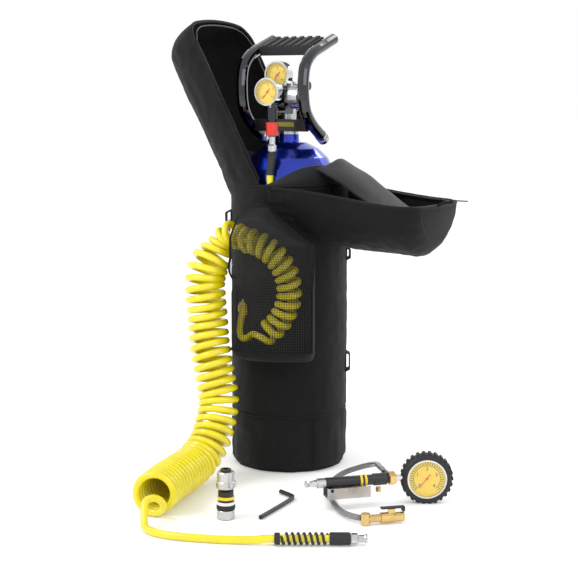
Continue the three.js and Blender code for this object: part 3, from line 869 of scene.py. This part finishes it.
def lid_point(side, u, w, inset=0.0):
    """A point of a closed lid: side is -1 left or 1 right, u from 0 at the front edge to 1 at the back."""
    radius, height = lid_profile(w)
    angle = math.pi * (u - 0.5)
    slack = 0.0035 * ripple(angle * 0.05 + side, height * 0.6, 0, 22) * math.sin(math.pi * u)
    slack += 0.0018 * ripple(angle * 0.1 + side, height, 1, 60)
    slack += 0.005 * ripple(angle * 0.12 + side, height * 0.4, 2, 45) * math.exp(-height / 0.08)
    radius = max(radius - inset, 0.0003) + slack * min(radius / 0.05, 1)
    if height > LID_LENGTH - 0.001:
        height += 0.005 * (1 - (radius / (BAG_RADIUS - LID_CORNER)) ** 2)
    height -= inset * (w > 0.7)
    return Vector((side * max(radius * math.cos(angle), 0.001), radius * math.sin(angle), height))


def left_place(point):
    turned = Matrix.Rotation(-LEFT_LEAN, 4, "Y") @ point
    return turned + Vector((0, 0, RIM_Z))


# the folded right lid's wall keeps this far from the bag's axis
HUG_RADIUS = 0.1105


def right_place(point):
    """The right lid folded right over: its free edge sags a little and its wall hugs the bag."""
    sag = 0.012 * smooth(share(point.z, 0.06, 0.3)) * math.exp(-(point.x / 0.05) ** 2)
    bunched = Vector((point.x, point.y, point.z * LID_BUNCH))
    turned = Matrix.Rotation(RIGHT_FOLD, 4, "Y") @ bunched + Vector((0, 0, RIM_Z - sag))
    flat = Vector((turned.x, turned.y, 0))
    if flat.length < HUG_RADIUS and turned.z < RIM_Z + 0.002:
        out = flat.normalized() * HUG_RADIUS
        turned = Vector((out.x, out.y, turned.z))
    return turned


def lid_mesh(name, side, place_point, keep):
    columns, rows = 72, 96

    def place(u, w):
        return place_point(lid_point(side, u, w))

    mesh = grid_mesh(name, columns, rows, place, False, lambda u, w: (u * 0.336, w * 0.43))
    bm = bmesh.new()
    bm.from_mesh(mesh)
    dropped = [face for face in bm.faces if not keep(face.calc_center_median())]
    bmesh.ops.delete(bm, geom=dropped, context="FACES")
    bmesh.ops.remove_doubles(bm, verts=bm.verts, dist=0.0002)
    bm.to_mesh(mesh)
    bm.free()
    return mesh


def lid_edge(side, place_point, inset=0.0):
    """The opening edge from the front hinge over the crown to the back hinge."""
    shares = [i / 60 for i in range(61)]
    front = [place_point(lid_point(side, 0, w, inset)) for w in shares]
    back = [place_point(lid_point(side, 1, w, inset)) for w in reversed(shares)]
    return [*front[:-1], *back[1:]]


def make_lid(name, side, placer, keep, on_binding, on_zip):
    """A lid's shell, its edge's binding and the zip's tape; each test picks the faces or points kept."""
    body = f"{name}_lid"
    shell = link(f"{name}_lid_shell", lid_mesh(name, side, placer, keep), "nylon", body)
    thicken(shell, 0.0035, -1.0 if side > 0 else 1.0)
    modifier(shell, "SUBSURF", levels=1, render_levels=1)
    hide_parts(f"{name}_lid")
    edge = [point for point in lid_edge(side, placer, 0.002) if on_binding(point)]
    tube(f"{name}_lid_binding", edge[::2], 0.0033, "webbing", body, 10, 4)
    tape = [point for point in lid_edge(side, placer, 0.011) if on_zip(point)]
    tube(f"{name}_lid_zip", tape[::2], 0.0019, "steel", body, 8, 4)


def make_lids():
    """Drops what would lie inside the bag's wall, at rest, from both lids."""
    make_lid("left", -1, left_place,
             lambda centre: centre.z > RIM_Z or math.hypot(centre.x, centre.y) > BAG_RADIUS + 0.0005,
             lambda point: point.z > RIM_Z or point.x < -0.11, lambda point: point.z > RIM_Z + 0.01)
    make_lid("right", 1, right_place, lambda centre: math.hypot(centre.x, centre.y) > HUG_RADIUS + 0.0002,
             lambda point: point.x > 0.02, lambda point: point.x > 0.03)


GORE_HALF = 0.058
GORE_REACH = 0.285
GORE_LOW = 0.465


def make_gore():
    """The lid's slack lining between the bag's rim and the bowl."""
    def place(u, w):
        y = GORE_HALF * (2 * u - 1)
        start = math.sqrt(0.106 ** 2 - y * y)
        x = start + (GORE_REACH - start) * w
        top = RIM_Z + 0.006 + collar_height(start)
        fall = 0.6 * w + 0.4 * smooth(w)
        z = top + (GORE_LOW - top) * fall - 0.016 * (2 * u - 1) ** 2 * (1 - 0.5 * w)
        return (x, y, z + 0.004 * ripple(x, y, 0, 24, 9))

    mesh = grid_mesh("lid_gore", 36, 40, place, False, lambda u, w: (u * 0.13, w * 0.2))
    gore = link("lid_gore", mesh, "lining", "right_lid")
    thicken(gore, 0.0025)
    bake_modifiers(gore)
    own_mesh(gore)


def pocket_point(u, w, depth=0.0):
    """The pocket's outer skin, u from its left edge to its right, w from its bottom to its top, in metres."""
    base, tall = 212, 304
    z = base + tall * w
    rise = smooth(share(z, 335, 410))
    narrow = max((z - 440) / 76, 0)
    left = -36 + 26 * rise + 12 * narrow
    right = min(51, math.degrees(math.asin(min((522 - z) / 118, 1))) - 1)
    angle = left + (right - left) * u

    def ramp(distance, width):
        return math.sqrt(1 - (1 - share(distance, 0, width)) ** 2)

    slope = 1 - (1 - smooth(min(u * (right - left) / 34, 1))) * (1 - rise)
    bulge = 58 * slope * ramp((1 - u) * (right - left), 11)
    bulge = bulge * ramp(z - base, 24) * (1 - smooth(share(z, 474, 514)))
    radius = 109 + bulge + depth * 1000 + 0.8 * ripple(angle / 60, z / 90, 0, 4)
    turn = math.radians(angle - 90)
    return Vector((radius * math.cos(turn), radius * math.sin(turn), z)) * MM


def make_pocket():
    """The net, the cloth round it and the bindings along its hem and its side."""
    hem, side, crown = 0.075, 0.93, 0.93
    cells_across, cells_up = 54, 88

    def cloth_uv(u, w):
        return (u * 0.2, w * 0.3)

    def net_place(u, w):
        return pocket_point(0.01 + (side - 0.01) * u, hem + (crown - hem) * w)

    mesh = grid_mesh("pocket_net", cells_across, cells_up, net_place, False, cloth_uv)
    net = link("pocket_net", mesh, "net", "pack")
    modifier(net, "WIREFRAME", thickness=0.0009, use_replace=True, use_boundary=True)
    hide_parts("mesh_pocket")
    cloths = (("pocket_hem", (0, 1), (0, hem), 60, 8), ("pocket_gusset", (side, 1), (hem, crown), 8, 80),
              ("pocket_crown", (0, 1), (crown, 0.995), 30, 6),
              ("pocket_edge", (0, 0.03), (hem, crown), 3, 80))
    for name, (u0, u1), (w0, w1), columns, rows in cloths:
        def place(u, w, u0=u0, u1=u1, w0=w0, w1=w1):
            return pocket_point(u0 + (u1 - u0) * u, w0 + (w1 - w0) * w, 0.0008)

        cloth = link(name, grid_mesh(name, columns, rows, place, False, cloth_uv), "nylon", "pack")
        thicken(cloth, 0.0014)
        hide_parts("mesh_pocket")
    hem_line = [pocket_point(i / 40, hem, 0.0012) for i in range(41)]
    tube("pocket_hem_binding", hem_line, 0.0014, "webbing", "pack", 8, 3)
    rising = [pocket_point(side, hem + (crown - hem) * i / 60, 0.0012) for i in range(61)]
    tube("pocket_side_binding", rising, 0.0016, "webbing", "pack", 8, 3)


# ---------------------------------------------------------------- hardware details
def make_end_relief():
    """The spring guard at the hose's free end: a collar, an open helix and the body behind the fitting."""
    out, height = 517, 10.5
    axis = [laid(start, out, height) for start in range(-14, 64)]
    guard = helix(axis, lambda place: 0.0083, lambda place: 0.0092, 0.004, 0.0, 18)
    along = Vector((math.cos(LAYOUT_TURN), math.sin(LAYOUT_TURN), 0))
    wire_piece = link("relief_wire", tube_mesh("relief_wire", guard, 0.0021, 10), "rubber", "pack")
    profile = [(6.4, 0), (8.8, 0), (9.4, 1.5), (9.4, 7.5), (8.8, 9), (6.4, 9), (6.4, 0)]
    collar = lathe("relief_collar", profile, "rubber", "pack",
                   toward(laid(-23, out, height), along), 40)
    body = lathe("relief_body", [(6.4, 0), (9.2, 0), (10, 2), (10, 30), (8.8, 33.5), (6.4, 33.5), (6.4, 0)],
                 "rubber", "pack", toward(laid(63, out, height), along), 40)
    relief = joined("relief_guard", [wire_piece, collar, body])
    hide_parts("hose_end_relief")


def face_of(prefix):
    """Centre, outward normal and up of a gauge's dial, taken from its CAD parts."""
    def middle(name):
        part = DATA.objects[name]
        corners = [part.matrix_world @ vertex.co for vertex in part.data.vertices]
        return sum(corners, Vector()) / len(corners)

    centre = middle(f"{prefix}_dial")
    normal = (middle(f"{prefix}_lens") - centre).normalized()
    up = Vector((0, 0, 1))
    up = (up - normal * up.dot(normal)).normalized()
    return centre, normal, up


def gauge_frame(prefix):
    centre, normal, up = face_of(prefix)
    across = up.cross(normal)
    turn = Matrix((across, up, normal)).transposed().to_4x4()
    return Matrix.Translation(centre) @ turn


def make_dial(prefix, radius, body):
    """A disc of rings just over the CAD dial, with its five figures."""
    sides = 64
    place = gauge_frame(prefix)
    mesh = DATA.meshes.new(f"{prefix}_face")
    bm = bmesh.new()
    layer = bm.loops.layers.uv.new("UVMap")
    rings = [[bm.verts.new((r * radius * math.cos(a), r * radius * math.sin(a), 0.0005 - 0.0001 * r))
              for a in (2 * math.pi * i / sides for i in range(sides))] for r in (0.02, 0.5, 0.9, 1.0)]
    faces = [bm.faces.new(rings[0])]
    for low, high in zip(rings, rings[1:]):
        for i in range(sides):
            k = (i + 1) % sides
            faces.append(bm.faces.new((low[i], high[i], high[k], low[k])))
    for face in faces:
        for loop in face.loops:
            loop[layer].uv = (0.5 + loop.vert.co.x / radius / 2, 0.5 + loop.vert.co.y / radius / 2)
    bm.transform(place)
    bm.to_mesh(mesh)
    bm.free()
    face = link(f"{prefix}_face", mesh, "dial", body)
    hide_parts(f"{prefix}_dial")
    for index, turn_deg in enumerate((-135, -67, 0, 67, 135)):
        figure_piece(f"{prefix}_figure_{index}", str(index), radius, turn_deg, place, body)


def figure_piece(name, figure, radius, turn_deg, place, body):
    letter = DATA.curves.new(name, "FONT")
    letter.body = figure
    letter.size = radius * 0.3
    letter.align_x, letter.align_y = "CENTER", "CENTER"
    text = DATA.objects.new(name, letter)
    bpy.context.collection.objects.link(text)
    bpy.context.view_layer.update()
    mesh = DATA.meshes.new_from_object(text.evaluated_get(bpy.context.evaluated_depsgraph_get()))
    DATA.objects.remove(text)
    turn = math.radians(turn_deg)
    spot = Matrix.Translation((radius * 0.56 * math.sin(turn), radius * 0.56 * math.cos(turn), 0.0007))
    mesh.transform(place @ spot)
    link(name, mesh, "steel", body, False)


def make_bezel(prefix, radius, body):
    profile = [(radius - 2.6, 4.6), (radius - 2.2, 5.6), (radius - 0.6, 6.0), (radius + 0.5, 5.2),
               (radius + 0.6, 3.2), (radius - 0.2, 2.6), (radius - 2.6, 4.6)]
    lathe(f"{prefix}_bezel", profile, "chrome", body, gauge_frame(prefix), 72)


def make_gauges():
    gauges = (("low_gauge", 25, "pack"), ("high_gauge", 25, "pack"), ("inflator_gauge", 34, "inflator"))
    for prefix, radius, body in gauges:
        make_dial(prefix, (radius - 2.7) * MM, body)
        make_bezel(prefix, radius, body)
    place = gauge_frame("inflator_gauge")
    lugs, lug_count = [], 26
    for index in range(lug_count):
        turn = Matrix.Rotation(2 * math.pi * index / lug_count, 4, "Z")
        spot = Matrix.Translation((0.0432, 0, -0.007))
        lugs.append(solid_box(f"boot_lug_{index}", (0.0042, 0.0058, 0.019), "rubber", "inflator",
                              place @ turn @ spot, 0.0011, 2))
    joined("gauge_boot_lugs", lugs)


def make_coupler_bands():
    base = Matrix.Translation(laid(-104.5, 378, 0))
    bands = (("spare_yellow_band", 33, 38, 14.45, "yellow"), ("spare_white_ring", 24, 29, 15.2, "white"),
             ("spare_lower_ring", 17, 23, 15.8, "rubber"), ("spare_base", 0.5, 15, 14.8, "silver"))
    for name, low, high, radius, look in bands:
        profile = [(13, low), (radius - 0.4, low), (radius, low + 0.5), (radius, high - 0.5),
                   (radius - 0.4, high), (13, high), (13, low)]
        lathe(name, profile, look, "spare_coupler", base, 48)


def make_inflator_trim():
    tool = LAYOUT @ Matrix.Translation(v(27, -336, 45)) @ Matrix.Rotation(math.radians(14.8), 4, "Z")
    along = tool @ Matrix.Rotation(math.pi / 2, 4, "Y")
    for index, start in enumerate((96, 104)):
        profile = [(8.9, start), (9.6, start), (9.9, start + 1), (9.9, start + 3), (9.6, start + 4),
                   (8.9, start + 4), (8.9, start)]
        lathe(f"inflator_band_{index}", profile, "yellow", "inflator", along, 40)
    nut = [(6, 148), (11.4, 148), (12.2, 149.2), (12.2, 158.5), (11.4, 160), (6, 160), (6, 148)]
    lathe("inflator_nut", nut, "brass", "inflator", along, 6, 0.3)


def make_bracket_strip():
    place = Matrix.Translation(v(4, -34.4, 641))
    solid_box("bracket_strip", (0.052, 0.0012, 0.0085), "olive", "pack", place, 0.0004, 2)


def make_zip_tail():
    """The end of the zip's tape, reaching from the folded lid's end to the pull."""
    low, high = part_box("zip_pull")
    start = right_place(Vector((0.004, -0.022, LID_LENGTH - 0.004)))
    end = Vector((low[0] + 0.003, (low[1] + high[1]) / 2, high[2] - 0.004))
    middle = start.lerp(end, 0.5) + Vector((0, 0, 0.003))
    tube("zip_tail", [start, middle, end], 0.0026, "webbing", "right_lid", 10, 6)


def make_lid_walls():
    """Strips of the right lid's wall, on the bag's side under the fold, where they fill the wedge."""
    strip_radius, half_width = 0.1098, math.radians(5.8)
    for index in range(16):
        middle = math.radians(10 * index - 75)
        span = BAG_RADIUS * math.cos(middle)

        def place(u, w, middle=middle, span=span):
            angle = middle + half_width * (2 * u - 1)
            return (strip_radius * math.cos(angle), strip_radius * math.sin(angle), RIM_Z - 0.001 - span * w)

        mesh = grid_mesh(f"lid_wall_{index}", 4, 24, place, False, lambda u, w: (u * 0.022, w * 0.1))
        wall = link(f"lid_wall_{index}", mesh, "nylon", None)
        thicken(wall, 0.001, -1.0)
        bake_modifiers(wall)
        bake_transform(wall)


make_camera()
make_studio()
paint_cad()
make_bag()
make_bag_seams()
make_collar()
make_lids()
make_gore()
make_lid_walls()
make_pocket()
make_air_hose()
make_end_relief()
make_gauges()
make_coupler_bands()
make_inflator_trim()
make_bracket_strip()
make_zip_tail()
make_braided_hose()
